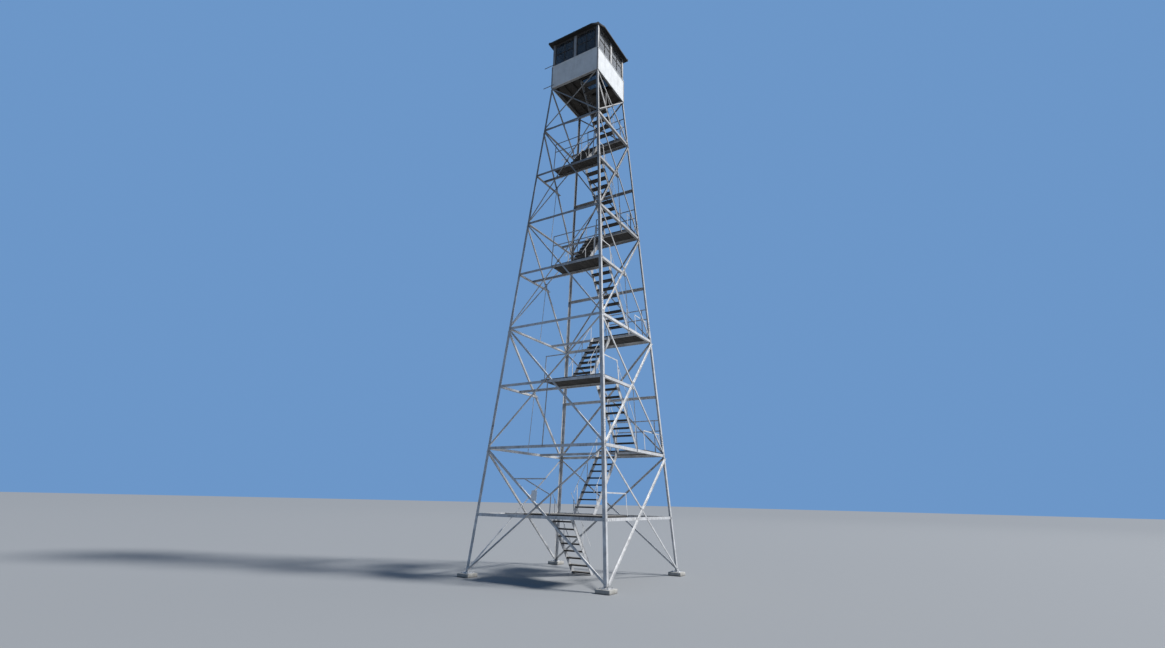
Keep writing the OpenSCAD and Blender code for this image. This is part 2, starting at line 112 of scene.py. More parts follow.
def put(tree, kind, inputs=None, **settings):
    """Adds a node to a tree, sets it up, and gives its inputs a value or a link."""
    node = tree.nodes.new("ShaderNode" + kind)
    for name, value in settings.items():
        setattr(node, name, value)
    for key, value in (inputs or {}).items():
        if isinstance(value, bpy.types.NodeSocket):
            tree.links.new(value, node.inputs[key])
        else:
            node.inputs[key].default_value = value
    return node


def blend_colours(tree, amount, first, second):
    """Goes from the first colour to the second as amount rises from 0 to 1."""
    return put(tree, "Mix", {0: amount, 6: first, 7: second}, data_type="RGBA").outputs[2]


def spread(tree, value, low, high, to_low=0.0, to_high=1.0):
    """Stretches a value from one range to another, and keeps it inside."""
    return put(tree, "MapRange", {0: value, 1: low, 2: high, 3: to_low, 4: to_high}).outputs[0]


def times(tree, first, second):
    """Two values, multiplied."""
    return put(tree, "Math", {0: first, 1: second}, operation="MULTIPLY").outputs[0]


def new_group(name, inputs, outputs):
    """A node group with named inputs and outputs."""
    group = bpy.data.node_groups.new(name, "ShaderNodeTree")
    for label, kind, value in inputs:
        socket = group.interface.new_socket(label, in_out="INPUT", socket_type="NodeSocket" + kind)
        if value is not None:
            socket.default_value = value
    for label, kind in outputs:
        group.interface.new_socket(label, in_out="OUTPUT", socket_type="NodeSocket" + kind)
    return group, group.nodes.new("NodeGroupInput").outputs, group.nodes.new("NodeGroupOutput").inputs


def new_finish(name, roughness=0.6, metallic=0.0):
    """A material with its shader, and the coordinates of the piece that it is on."""
    finish = bpy.data.materials.new(name)
    finish.use_nodes = True
    tree = finish.node_tree
    shader = tree.nodes["Principled BSDF"]
    shader.inputs["Roughness"].default_value = roughness
    shader.inputs["Metallic"].default_value = metallic
    return finish, tree, shader.inputs, put(tree, "TexCoord").outputs["Object"]


def dress(finish, *nodes):
    """Gives CAD nodes their finish."""
    for node in nodes:
        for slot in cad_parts[node].material_slots:
            slot.material = finish


def take_up(finish, pieces, name):
    """Joins finished shapes into one piece that rides on the tower."""
    bpy.ops.object.select_all(action="DESELECT")
    for piece in pieces:
        piece.select_set(True)
    bpy.context.view_layer.objects.active = pieces[0]
    if len(pieces) > 1:
        bpy.ops.object.join()
    piece = bpy.context.object
    piece.name = piece.data.name = name
    piece.data.materials.clear()
    piece.data.materials.append(finish)
    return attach(piece, "root")


def round_edges(shape, width, segments=1):
    """Bevels the sharp edges of a shape."""
    rounding = shape.modifiers.new("rounding", "BEVEL")
    rounding.width = width
    rounding.segments = segments
    rounding.limit_method = "ANGLE"
    rounding.angle_limit = radians(40)
    bpy.ops.object.modifier_apply(modifier=rounding.name)
    bpy.ops.object.shade_smooth_by_angle(angle=radians(30))
    return shape


def soften(node, width, finish):
    """A copy of a CAD node with its edges rounded off, which stands for the node."""
    bpy.ops.object.select_all(action="DESELECT")
    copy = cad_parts[node].copy()
    copy.data = copy.data.copy()
    copy.parent = None
    bpy.context.scene.collection.objects.link(copy)
    copy.select_set(True)
    bpy.context.view_layer.objects.active = copy
    bpy.ops.object.mode_set(mode="EDIT")
    bpy.ops.mesh.select_all(action="SELECT")
    bpy.ops.mesh.remove_doubles(threshold=0.00002)
    bpy.ops.mesh.dissolve_limited(angle_limit=radians(1))
    bpy.ops.object.mode_set(mode="OBJECT")
    piece = take_up(finish, [round_edges(copy, width, 2)], node + "_rounded")
    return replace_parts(piece, node)


patches, given, made = new_group("weather_patches", [("Vector", "Vector", None), ("Size", "Float", 0.3)],
                                 [("Patches", "Float"), ("Fine", "Float")])
per_metre = put(patches, "Math", {0: 1.0, 1: given["Size"]}, operation="DIVIDE").outputs[0]
broad = put(patches, "TexNoise",
            {"Vector": given["Vector"], "Scale": per_metre, "Detail": 5.0, "Roughness": 0.62})
fine = put(patches, "TexNoise",
           {"Vector": given["Vector"], "Scale": times(patches, per_metre, 14.0), "Detail": 3.0})
patches.links.new(spread(patches, broad.outputs[0], 0.32, 0.68), made["Patches"])
patches.links.new(spread(patches, fine.outputs[0], 0.3, 0.7), made["Fine"])

concrete, tree, shader, place = new_finish("rough_concrete", roughness=0.9)
patch = put(tree, "Group", {"Vector": place, "Size": 0.16}, node_tree=patches)
pits = put(tree, "TexVoronoi", {"Vector": place, "Scale": 90.0})
height = put(tree, "SeparateXYZ", {0: place}).outputs["Z"]
cast = blend_colours(tree, patch.outputs["Patches"], (0.30, 0.285, 0.255, 1), (0.44, 0.43, 0.40, 1))
spots = spread(tree, patch.outputs["Fine"], 0.55, 1.0, 0.0, 0.5)
cast = blend_colours(tree, spots, cast, (0.20, 0.19, 0.17, 1))
splash = spread(tree, height, 0.0, 0.05, 0.55, 0.0)
tree.links.new(blend_colours(tree, splash, cast, (0.16, 0.14, 0.115, 1)), shader["Base Color"])
pitted = put(tree, "Bump", {"Strength": 0.5, "Distance": 0.003,
                            "Height": spread(tree, pits.outputs["Distance"], 0.0, 0.35)})
rough = put(tree, "Bump", {"Strength": 0.5, "Distance": 0.004, "Height": patch.outputs["Fine"],
                           "Normal": pitted.outputs[0]})
tree.links.new(rough.outputs[0], shader["Normal"])

soften("piers", 0.012, concrete)

# Base plates and shoes
# Each leg stands on a square steel plate that four anchor bolts hold down, and is bolted to two short
# shoe angles on it. All is hot-dip galvanised: the zinc has dulled in patches, with dark rain streaks.

streaks, given, made = new_group("rain_streaks", [("Vector", "Vector", None), ("Width", "Float", 0.03)],
                                 [("Streaks", "Float")])
drawn_out = put(streaks, "Mapping", {"Vector": given["Vector"], "Scale": (1.0, 1.0, 0.06)})
per_metre = put(streaks, "Math", {0: 1.0, 1: given["Width"]}, operation="DIVIDE").outputs[0]
runs = put(streaks, "TexNoise", {"Vector": drawn_out.outputs[0], "Scale": per_metre, "Detail": 3.0})
where = put(streaks, "TexNoise", {"Vector": given["Vector"], "Scale": 1.3, "Detail": 2.0})
streaks.links.new(times(streaks, spread(streaks, runs.outputs[0], 0.5, 0.75),
                        spread(streaks, where.outputs[0], 0.4, 0.65)), made["Streaks"])


def steel_finish(name, bright, dull, stain, painted_shade_at_top=0.7):
    """Dulled zinc: patches between two greys, crystals and stains that run down, with painted light low
    down and painted shade higher up.
    """
    finish, tree, shader, place = new_finish(name, metallic=0.35)
    patch = put(tree, "Group", {"Vector": place, "Size": 0.22}, node_tree=patches)
    run = put(tree, "Group", {"Vector": place, "Width": 0.025}, node_tree=streaks)
    crystal = put(tree, "TexVoronoi", {"Vector": place, "Scale": 70.0})
    zinc = blend_colours(tree, patch.outputs["Patches"], dull, bright)
    height = put(tree, "SeparateXYZ", {0: place}).outputs["Z"]
    # Painted light and shade: the zinc is up to 1.6 times brighter low down and darker over the upper
    # tower.
    tone = times(tree, spread(tree, crystal.outputs["Distance"], 0.0, 0.8, 0.94, 1.06),
                 spread(tree, height, 8.0, 13.5, 1.6, painted_shade_at_top))
    zinc = put(tree, "HueSaturation", {"Value": tone, "Color": zinc}).outputs[0]
    tree.links.new(blend_colours(tree, times(tree, run.outputs[0], 0.7), zinc, stain), shader["Base Color"])
    tree.links.new(spread(tree, patch.outputs["Patches"], 0.0, 1.0, 0.62, 0.46), shader["Roughness"])
    rough = put(tree, "Bump", {"Strength": 0.12, "Distance": 0.0004, "Height": patch.outputs["Fine"]})
    tree.links.new(rough.outputs[0], shader["Normal"])
    return finish


zinc_bright = (0.445, 0.442, 0.435, 1)
zinc_dull = (0.272, 0.270, 0.268, 1)
rain_stain = (0.11, 0.095, 0.08, 1)
galvanised = steel_finish("galvanised_steel", zinc_bright, zinc_dull, rain_stain)
bolt_zinc = steel_finish("bolt_zinc", (0.32, 0.33, 0.335, 1), (0.19, 0.19, 0.19, 1), (0.14, 0.09, 0.06, 1))

base_half, leg_t, pier_h, plate_t, top_z, leg_low_w = 4.927 / 2, 0.008, 0.110, 0.012, 18.363, 0.102
foot_z = pier_h + plate_t
lean = (4.927 - 2.134) / 2 / top_z
batter = atan(lean)
shoe_l, shoe_w, shoe_t, anchor_out = 0.086, 0.060, 0.010, 0.115
chance = random.Random(17)


def half_at(z):
    """Half the tower's width at a height."""
    return base_half - lean * z


def up_face(z):
    """Distance up the slope of a face to a height."""
    return z / cos(batter)


def quarter(face):
    """The turn that brings the front to another side: 1 is right, 2 back and 3 left."""
    return Matrix.Rotation(face * pi / 2, 4, "Z")


def on_face(face, x=0.0, v=0.0, z=0.0, turned=0.0):
    """A place on a leaning face of the tower: x runs along it, v up its slope and z outwards."""
    foot = quarter(face) @ Matrix.Translation((0, -base_half, 0)) @ Matrix.Rotation(pi / 2 - batter, 4, "X")
    return foot @ Matrix.Translation((x, v, z)) @ Matrix.Rotation(turned, 4, "Z")


def block(x, y, z):
    """A block that fills three ranges, open in edit mode to be shaped."""
    bpy.ops.object.select_all(action="DESELECT")
    bpy.ops.mesh.primitive_cube_add(size=1, location=[(low + high) / 2 for low, high in (x, y, z)],
                                    scale=[high - low for low, high in (x, y, z)])
    bpy.ops.object.transform_apply(location=True, rotation=True, scale=True)
    bpy.ops.object.mode_set(mode="EDIT")
    return bpy.context.object


def rod(sides, radius, low, high):
    """An upright prism from one height to another, open in edit mode to be shaped."""
    bpy.ops.object.select_all(action="DESELECT")
    bpy.ops.mesh.primitive_cylinder_add(vertices=sides, radius=radius, depth=high - low,
                                        location=(0, 0, (low + high) / 2))
    bpy.ops.object.transform_apply(location=True, rotation=True, scale=True)
    bpy.ops.object.mode_set(mode="EDIT")
    return bpy.context.object


def pick(kind, test):
    """In edit mode, selects only the points, edges or faces whose middle and direction pass a test."""
    bpy.ops.mesh.select_mode(type={"points": "VERT", "edges": "EDGE", "faces": "FACE"}[kind])
    bpy.ops.mesh.select_all(action="DESELECT")
    bpy.ops.object.mode_set(mode="OBJECT")
    mesh = bpy.context.object.data
    if kind == "faces":
        chosen = [bool(test(face.center, face.normal)) for face in mesh.polygons]
        mesh.polygons.foreach_set("select", chosen)
    elif kind == "edges":
        ends = [[mesh.vertices[i].co for i in edge.vertices] for edge in mesh.edges]
        mesh.edges.foreach_set("select", [bool(test((a + b) / 2, (b - a).normalized())) for a, b in ends])
    else:
        mesh.vertices.foreach_set("select", [bool(test(point.co, point.normal)) for point in mesh.vertices])
    bpy.ops.object.mode_set(mode="EDIT")


def draw_out(*offset):
    """Extrudes the chosen faces by an offset."""
    bpy.ops.mesh.extrude_region_move(TRANSFORM_OT_translate={"value": offset})


def done(smooth=30):
    """Closes the shape, smooth where its faces meet gently."""
    bpy.ops.object.mode_set(mode="OBJECT")
    bpy.ops.object.shade_smooth_by_angle(angle=radians(smooth))
    return bpy.context.object


def join(parts):
    """Makes several shapes one."""
    bpy.ops.object.select_all(action="DESELECT")
    for part in parts:
        part.select_set(True)
    bpy.context.view_layer.objects.active = parts[0]
    bpy.ops.object.join()
    return bpy.context.object


def bolt(size, grip, tail=0.008):
    """A hexagon bolt with its head on z = 0 and its nut past the grip below, and a washer under each."""
    washer_t = 0.0025
    nut_end = -grip - size * 0.75 - washer_t
    parts = []
    for sides, radius, low, high in ((10, size * 1.15, 0, washer_t),
                                     (6, size * 0.92, washer_t, size * 0.62 + washer_t),
                                     (10, size * 1.15, -grip - washer_t, -grip),
                                     (6, size * 0.92, nut_end, -grip - washer_t),
                                     (8, size * 0.5, nut_end - tail, -grip - size * 0.6)):
        rod(sides, radius, low, high)
        if sides != 10:
            outward = 1 if low > 0 else -1
            pick("faces", lambda middle, normal: normal.z * outward > 0.9)
            bpy.ops.mesh.inset(thickness=radius * 0.16)
            bpy.ops.transform.translate(value=(0, 0, outward * radius * 0.1))
        parts.append(done(25))
    return join(parts)


def copies(pattern, places):
    """A copy of a shape at each place, each with its own mesh and its own tone."""
    out = []
    for place in places:
        copy = pattern.copy()
        copy.data = pattern.data.copy()
        copy.data.transform(place)
        if place.determinant() < 0:
            copy.data.flip_normals()
        tone = copy.data.attributes.new("tone", "FLOAT", "POINT")
        tone.data.foreach_set("value", [chance.random()] * len(copy.data.vertices))
        bpy.context.scene.collection.objects.link(copy)
        out.append(copy)
    bpy.data.objects.remove(pattern)
    return out


soften("base_plates", 0.002, galvanised)

anchor_places, shoe_places, shoe_bolt_places = [], [], []
for face in range(4):
    middle = half_at(0) - leg_low_w / 2
    for x in (-anchor_out, anchor_out):
        for y in (-anchor_out, anchor_out):
            anchor_places.append(quarter(face) @ Matrix.Translation((middle + x, -middle + y, pier_h))
                                 @ Matrix.Rotation(pi, 4, "X"))
    for side in (-1, 1):
        shoe_x = side * (half_at(foot_z) - leg_low_w / 2 - 0.002)
        shoe_places.append(quarter(face) @ Matrix.Translation((shoe_x, -half_at(foot_z) - 0.0002, foot_z)))
        for x in (-0.022, 0.022):
            shoe_bolt_places.append(on_face(face, shoe_x + x, up_face(foot_z + 0.040), shoe_t))
take_up(bolt_zinc,
        copies(bolt(0.020, plate_t, 0.014), anchor_places)
        + copies(bolt(0.016, shoe_t + leg_t), shoe_bolt_places), "foot_bolts")

block((-shoe_l / 2, shoe_l / 2), (-shoe_t, 0), (0, shoe_t))
pick("faces", lambda middle, normal: normal.y < -0.9)
draw_out(0, shoe_t - shoe_w, 0)
pick("faces", lambda middle, normal: normal.z > 0.9 and middle.y > -shoe_t)
draw_out(0, lean * (shoe_w - shoe_t), shoe_w - shoe_t)
take_up(galvanised, copies(round_edges(done(), 0.002), shoe_places), "shoe_angles")

# Legs
# Four equal angle irons that lean in to the cab floor and get lighter upwards. Their lengths meet a
# little above the second, fourth and sixth landings, where splice angles inside them are bolted on.

dress(galvanised, "leg_front_left", "leg_front_right", "leg_back_right", "leg_back_left", "leg_splices")

first_h, level_h, splice_up = 1.907, 2.057, 0.45


def level_z(k):
    """Height of a landing, from the ground to the cab floor."""
    return 0 if k == 0 else first_h + (k - 1) * level_h


def leg_w_at(k):
    """Flange of the legs above a landing."""
    return leg_low_w if k < 4 else 0.089 if k < 6 else 0.076


splice_bolt_places = []
for k in (2, 4, 6):
    for face in range(4):
        for side in (-1, 1):
            for i, up_joint in enumerate((-0.175, -0.11, -0.045, 0.045, 0.11, 0.175)):
                z = level_z(k) + splice_up + up_joint
                x = half_at(z) - leg_w_at(k + 1) * (0.42 if i % 2 else 0.62)
                splice_bolt_places.append(on_face(face, side * x, up_face(z), 0))
take_up(bolt_zinc, copies(bolt(0.016, 2 * leg_t), splice_bolt_places), "splice_bolts")

# Diagonals
# Each face has crossed angle bars from landing to landing, one set bolted outside the legs and the
# other inside them, and both to a packing plate where they cross.

dress(galvanised, "bracing_front", "bracing_right", "bracing_back", "bracing_left", "crossing_plates")

brace_t, girt_w, girt_t, deck_t, end_reach = 0.006, 0.089, 0.006, 0.045, 0.045
bays = ((0, 2), (2, 4), (4, 6), (6, 8), (8, 9))


def girt_z(k):
    """Height of the middle of the girts at a landing."""
    return top_z - girt_w / 2 if k == 9 else level_z(k) - deck_t - girt_w / 2


def brace_ends(bay):
    """Lower and upper end of the diagonals of a bay, on the right half of a face."""
    low_z = foot_z + 2 * end_reach if bay[0] == 0 else girt_z(bay[0]) + girt_w / 2 + end_reach
    high_z = girt_z(bay[1]) - girt_w / 2 - end_reach
    return [Vector((half_at(z) - leg_w_at(k) / 2 - leg_t, up_face(z)))
            for z, k in ((low_z, bay[0]), (high_z, bay[1] - 1))]


outer_places, inner_places, through_places = [], [], []
for face in range(4):
    for bay in bays:
        low, high = brace_ends(bay)
        cross_v = low.y + (high.y - low.y) * low.x / (low.x + high.x)
        through_places.append(on_face(face, 0, cross_v, brace_t))
        for side, places, z in ((1, outer_places, brace_t), (-1, inner_places, 0)):
            start, stop = Vector((-side * low.x, low.y)), Vector((side * high.x, high.y))
            along = (stop - start).normalized()
            aside = Vector((-along.y, along.x)) * 0.003
            cross = Vector((0, cross_v))
            for point in (start, start + along * 0.036, stop, stop - along * 0.036,
                          cross - along * 0.042, cross + along * 0.042):
                places.append(on_face(face, *(point + aside), z, atan2(along.y, along.x)))
take_up(bolt_zinc,
        copies(bolt(0.014, brace_t + leg_t), outer_places + inner_places)
        + copies(bolt(0.016, 2 * brace_t + leg_t), through_places), "diagonal_bolts")

# Girts
# Level angle irons across the faces at each landing. On the odd landings they pass inside the inner
# diagonals and are packed out to the legs, and on the sides they stop just past the diagonals.

dress(galvanised, "girts_front", "girts_right", "girts_back", "girts_left")

girt_bolt_places = {grip: [] for grip in (0.014, 0.020, 0.026, 0.012)}
for face in range(4):
    for k in range(1, 10):
        z = girt_z(k)
        stop = half_at(z + girt_w / 2) - leg_t - 0.012
        packed = k % 2 == 1 and k < 9
        reach = 0 if not packed or k == 1 or face in (0, 2) else -1 if face == 1 else 1
        for side in (-1, 1):
            if reach in (0, side):
                for inward in (0.022, 0.060 if k < 6 else 0.048):
                    for row in (-0.023, 0.023):
                        girt_bolt_places[0.020 if packed else 0.014].append(
                            on_face(face, side * (stop - inward), up_face(z + row), 0))
        if packed:
            low, high = brace_ends((k - 1, k + 1))
            cross_x = low.x - (up_face(z) - low.y) / (high.y - low.y) * (low.x + high.x)
            girt_bolt_places[0.026].append(on_face(face, -cross_x, up_face(z), brace_t))
            girt_bolt_places[0.012].append(on_face(face, cross_x, up_face(z), -leg_t))
girt_bolts = []
for grip, places in girt_bolt_places.items():
    girt_bolts += copies(bolt(0.014, grip), places)
take_up(bolt_zinc, girt_bolts, "girt_bolts")

# Girt hangers
# Light angle irons upright in the middle of a face, each bolted to the girt of an odd landing, with a
# packing piece, and to the girt below, which it holds up. The sides have three, the front and back one.

hanger_w, hanger_t, hanger_past, packing_half = 0.025, 0.003, 0.034, 0.015
hangers, hanger_tops, hanger_feet = [], [], []
for face, k in ((0, 2), (1, 2), (1, 4), (1, 6), (2, 2), (3, 2), (3, 4), (3, 6)):
    foot_v, top_v = up_face(girt_z(k)), up_face(girt_z(k + 1))
    block((-hanger_w / 2, hanger_t - hanger_w / 2), (foot_v - hanger_past, top_v + hanger_past),
          (-leg_t, hanger_t - leg_t))
    pick("faces", lambda middle, normal: normal.x > 0.9)
    draw_out(hanger_w - hanger_t, 0, 0)
    pick("faces", lambda middle, normal: normal.z > 0.9 and middle.x < hanger_t - hanger_w / 2)
    draw_out(0, 0, hanger_w - hanger_t)
    hanger = round_edges(done(), 0.0008)
    block((-packing_half, packing_half), (top_v - packing_half, top_v + packing_half),
          (-leg_t - brace_t, -leg_t))
    hanger = join([hanger, round_edges(done(), 0.0008)])
    hanger.data.transform(on_face(face))
    hangers.append(hanger)
    hanger_tops.append(on_face(face, hanger_t / 2, top_v, hanger_t - leg_t))
    hanger_feet.append(on_face(face, hanger_t / 2, foot_v, hanger_t - leg_t))
take_up(galvanised, hangers, "girt_hangers")
take_up(bolt_zinc,
        copies(bolt(0.009, hanger_t + brace_t + girt_t, 0.005), hanger_tops)
        + copies(bolt(0.009, hanger_t + girt_t, 0.005), hanger_feet), "hanger_bolts")

# Landing joists
# Channels that cross the tower at the inner edge of each landing and carry the ends of the flights.
# Their ends rest on the side girts and are bolted to them through short clip angles.

dress(galvanised, "landing_joists")

front_joist_y, back_joist_y = 0.860, 0.710
clip_w, clip_t, clip_h = 0.050, 0.005, 0.064
clip_places, clip_bolt_places = [], []
for k in range(1, 9):
    side = -1 if k % 2 else 1
    web_y = -front_joist_y if side < 0 else back_joist_y
    low = girt_z(k) - girt_w / 2 + girt_t
    depth = leg_t + (brace_t if k % 2 else 0)
    for end in (-1, 1):
        end_x = half_at(low) - (depth + girt_t) / cos(batter) - 0.008
        clip_places.append(Matrix.Translation((end * end_x, web_y, low + 0.010))
                           @ Matrix.Diagonal((end, side, 1, 1)))
        bolt_place = Matrix.Translation((end * (end_x - 0.030), web_y - side * clip_t, low + 0.042))
        clip_bolt_places.append(bolt_place @ Matrix.Rotation(side * pi / 2, 4, "X"))

block((-clip_t, 0), (-clip_t, 0), (0, clip_h))
pick("faces", lambda middle, normal: normal.x < -0.9)
draw_out(clip_t - clip_w, 0, 0)
pick("faces", lambda middle, normal: normal.y < -0.9 and middle.x > -clip_t)
draw_out(0, clip_t - clip_w, 0)
take_up(galvanised, copies(round_edges(done(), 0.0015), clip_places), "joist_clips")
take_up(bolt_zinc, copies(bolt(0.014, girt_t + clip_t), clip_bolt_places), "joist_bolts")

# Landings
# Loose planks laid side by side from the girt to the joist, sawn to about the same length. They have
# weathered to a dark grey-brown, with a silvery top, cracked along the grain, and no two match.

grain, given, made = new_group("wood_grain", [("Vector", "Vector", None), ("Tone", "Float", 0.5),
                                              ("Along", "Vector", (1.0, 0.06, 1.0))],
                               [("Grain", "Float"), ("Cracks", "Float"), ("Stains", "Float")])
own = put(grain, "CombineXYZ", {0: times(grain, given["Tone"], 31.0), 1: times(grain, given["Tone"], 17.0),
                                2: times(grain, given["Tone"], 9.0)}).outputs[0]
shifted = put(grain, "VectorMath", {0: given["Vector"], 1: own}, operation="ADD").outputs[0]
stretched = put(grain, "VectorMath", {0: shifted, 1: given["Along"]}, operation="MULTIPLY").outputs[0]
fibres = put(grain, "TexNoise", {"Vector": stretched, "Scale": 130.0, "Detail": 4.0, "Roughness": 0.6})
splits = put(grain, "TexNoise", {"Vector": stretched, "Scale": 42.0, "Detail": 2.0})
blots = put(grain, "TexNoise", {"Vector": shifted, "Scale": 5.0, "Detail": 4.0})
grain.links.new(spread(grain, fibres.outputs[0], 0.3, 0.7), made["Grain"])
grain.links.new(spread(grain, splits.outputs[0], 0.62, 0.70), made["Cracks"])
grain.links.new(spread(grain, blots.outputs[0], 0.42, 0.66), made["Stains"])


def timber_finish(name, dark, light, bleached, along):
    """Weathered boards: grain along one axis, cracks, stains, and tops that the sun has bleached."""
    finish, tree, shader, place = new_finish(name, roughness=0.88)
    tone = put(tree, "Attribute", attribute_name="tone").outputs["Fac"]
    wood = put(tree, "Group", {"Vector": place, "Tone": tone, "Along": along}, node_tree=grain)
    board = blend_colours(tree, wood.outputs["Grain"], dark, light)
    upward = put(tree, "SeparateXYZ", {0: put(tree, "NewGeometry").outputs["Normal"]}).outputs["Z"]
    bleach = spread(tree, upward, 0.4, 0.9, 0.0, 0.8)
    bleach = times(tree, bleach, spread(tree, wood.outputs["Grain"], 0.0, 1.0, 0.6, 1.0))
    board = blend_colours(tree, bleach, board, bleached)
    board = blend_colours(tree, times(tree, wood.outputs["Stains"], 0.45), board, dark)
    board = blend_colours(tree, times(tree, wood.outputs["Cracks"], 0.85), board, (0.012, 0.010, 0.008, 1))
    tone = spread(tree, tone, 0.0, 1.0, 0.72, 1.25)
    board = put(tree, "HueSaturation", {"Value": tone, "Color": board}).outputs[0]
    tree.links.new(board, shader["Base Color"])
    cracked = put(tree, "Bump", {"Strength": 0.6, "Distance": 0.002, "Height": wood.outputs["Cracks"]},
                  invert=True)
    rough = put(tree, "Bump", {"Strength": 0.5, "Distance": 0.0012, "Height": wood.outputs["Grain"],
                               "Normal": cracked.outputs[0]})
    tree.links.new(rough.outputs[0], shader["Normal"])
    return finish


grey_dark, grey_light = (0.025, 0.022, 0.019, 1), (0.070, 0.062, 0.054, 1)
planks_grey = timber_finish("weathered_planks", grey_dark, grey_light,
                            (0.28, 0.265, 0.24, 1), (1.0, 0.05, 1.0))

stair_w, stair_gap, first_gap, side_gap = 0.720, 0.040, 0.100, 0.165


def brace_w_at(k):
    """Flange of the diagonals above a landing."""
    return 0.057 if k < 4 else 0.044


def stair_left(k):
    """Left edge of a flight."""
    if k == 1:
        return stair_left(2) - first_gap - stair_w
    return (half_at(level_z(k)) - side_gap if k % 2 else stair_left(k + 1) - stair_gap) - stair_w


def board(length, width, thickness):
    """A sawn board along Y with worn edges, lying under z = 0."""
    block((-width / 2, width / 2), (-length / 2, length / 2), (-thickness, 0))
    return round_edges(done(), 0.004, 2)


for name, landings in (("front_landings", (1, 3, 5, 7)), ("back_landings", (2, 4, 6, 8))):
    planks = []
    for k in landings:
        left = min(stair_left(k), stair_left(k + 1)) - 0.060 if k % 2 else stair_left(k) - 0.060
        if k % 2:
            left = min(left, -0.340)
        inset = half_at(level_z(k)) - (leg_t + brace_w_at(k - 1) + 0.006) / cos(batter)
        inner = front_joist_y if k % 2 else back_joist_y
        count = round((inset - left) / 0.146)
        pitch = (inset - left) / count
        side = -1 if k % 2 else 1
        places = []
        for i in range(count):
            shorter = chance.uniform(0.985, 1.0)
            places.append(Matrix.Translation((left + (i + 0.5) * pitch, side * (inner + inset) / 2,
                                              level_z(k) - chance.uniform(0, 0.0015)))
                          @ Matrix.Rotation(chance.uniform(-0.002, 0.002), 4, "Z")
                          @ Matrix.Diagonal((1, shorter, 1, 1)))
        planks += copies(board(inset - inner, pitch - 0.006, deck_t), places)
    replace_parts(take_up(planks_grey, planks, name + "_planks"), name)

# Stair
# Nine flights between the joists, each with two rolled channels as stringers. Thick plank treads rest
# on short cleats that are bolted on, and their tops and front edges are worn by boots.

dress(galvanised, "stringers")

treads_grey = timber_finish("worn_treads", grey_dark, grey_light,
                            (0.30, 0.28, 0.25, 1), (0.05, 1.0, 1.0))

stair_run = front_joist_y + back_joist_y
stringer_t, tread_d, tread_t = 0.006, 0.190, 0.045
cleat_l, cleat_w, cleat_h, cleat_t = 0.150, 0.038, 0.030, 0.004


def on_flight(k, x, run, climb):
    """A place on a flight: how far along its run, and how high over its foot. Y points up the run."""
    y = back_joist_y - run if k % 2 else run - front_joist_y
    return (Matrix.Translation((x, y, level_z(k) - level_h + climb))
            @ (Matrix.Diagonal((1, -1, 1, 1)) if k % 2 else Matrix.Identity(4)))


def tread():
    """One plank, hollowed a little in the middle of its front edge."""
    block((-stair_w / 2 + stringer_t, stair_w / 2 - stringer_t), (-tread_d / 2, tread_d / 2), (-tread_t, 0))
    pick("edges", lambda middle, way: abs(way.x) > 0.9)
    bpy.ops.mesh.subdivide(number_cuts=5)
    pick("points", lambda point, normal: abs(point.x) < 0.13 and point.z > -0.001 and point.y < 0)
    bpy.ops.transform.translate(value=(0, 0.003, -0.0035))
    pick("points", lambda point, normal: 0.13 < abs(point.x) < 0.25 and point.z > -0.001 and point.y < 0)
    bpy.ops.transform.translate(value=(0, 0.0015, -0.002))
    return round_edges(done(), 0.004, 2)


tread_places = {k: [] for k in range(1, 10)}
cleat_places, cleat_bolt_places = [], []
for k in range(1, 10):
    for i in range(1, 9):
        climb = i * level_h / 9
        run = climb * stair_run / level_h
        if level_z(k) - level_h + climb - tread_t < 0:
            continue
        tread_places[k].append(on_flight(k, stair_left(k) + stair_w / 2, run, climb))
        for side in (-1, 1):
            x = stair_left(k) + stair_w / 2 + side * (stair_w / 2 - stringer_t)
            cleat_places.append(on_flight(k, x, run, climb - tread_t) @ Matrix.Diagonal((side, 1, 1, 1)))
            bolt_z = climb - tread_t - (cleat_t + cleat_h) / 2
            for y in (-0.045, 0.045):
                cleat_bolt_places.append(on_flight(k, x + side * stringer_t, run + y, bolt_z)
                                         @ Matrix.Rotation(side * pi / 2, 4, "Y"))
for k in range(1, 10):
    treads = take_up(treads_grey, copies(tread(), tread_places[k]), "worn_treads_%d" % k)
    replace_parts(treads, "treads_%d" % k)

block((-cleat_t, 0), (-cleat_l / 2, cleat_l / 2), (-cleat_t, 0))
pick("faces", lambda middle, normal: normal.x < -0.9)
draw_out(cleat_t - cleat_w, 0, 0)
pick("faces", lambda middle, normal: normal.z < -0.9 and middle.x > -cleat_t)
draw_out(0, 0, cleat_t - cleat_h)
take_up(galvanised, copies(done(), cleat_places), "tread_cleats")
take_up(bolt_zinc,
        copies(bolt(0.010, stringer_t + cleat_t, 0.005), cleat_bolt_places), "cleat_bolts")

# Rails
# Flat bars at the landings and along both sides of every flight, bolted to posts of the same bar.
# The posts stand on the planks or are bolted outside the stringers.

dress(galvanised, "front_rails", "back_rails", "side_rails", "handrails")

rail_w, rail_t, handrail_h = 0.038, 0.005, 0.650
rail_bolt_places = []
for k in range(1, 10):
    stop = 1 - (handrail_h + 0.060) / level_h if k == 9 else 1
    for s in (0.12, 0.5, 0.88):
        if (0.2 if k == 1 else 0) < s < stop:
            for x, side in ((stair_left(k) - rail_t, -1), (stair_left(k) + stair_w + rail_t, 1)):
                for over in (-0.045, 0.025, handrail_h + (rail_w / 2) * level_h / stair_run - rail_w / 2):
                    rail_bolt_places.append(on_flight(k, x, s * stair_run + rail_w / 2, s * level_h + over)
                                            @ Matrix.Rotation(side * pi / 2, 4, "Y"))
take_up(bolt_zinc,
        copies(bolt(0.012, rail_t + stringer_t, 0.005), rail_bolt_places), "rail_bolts")

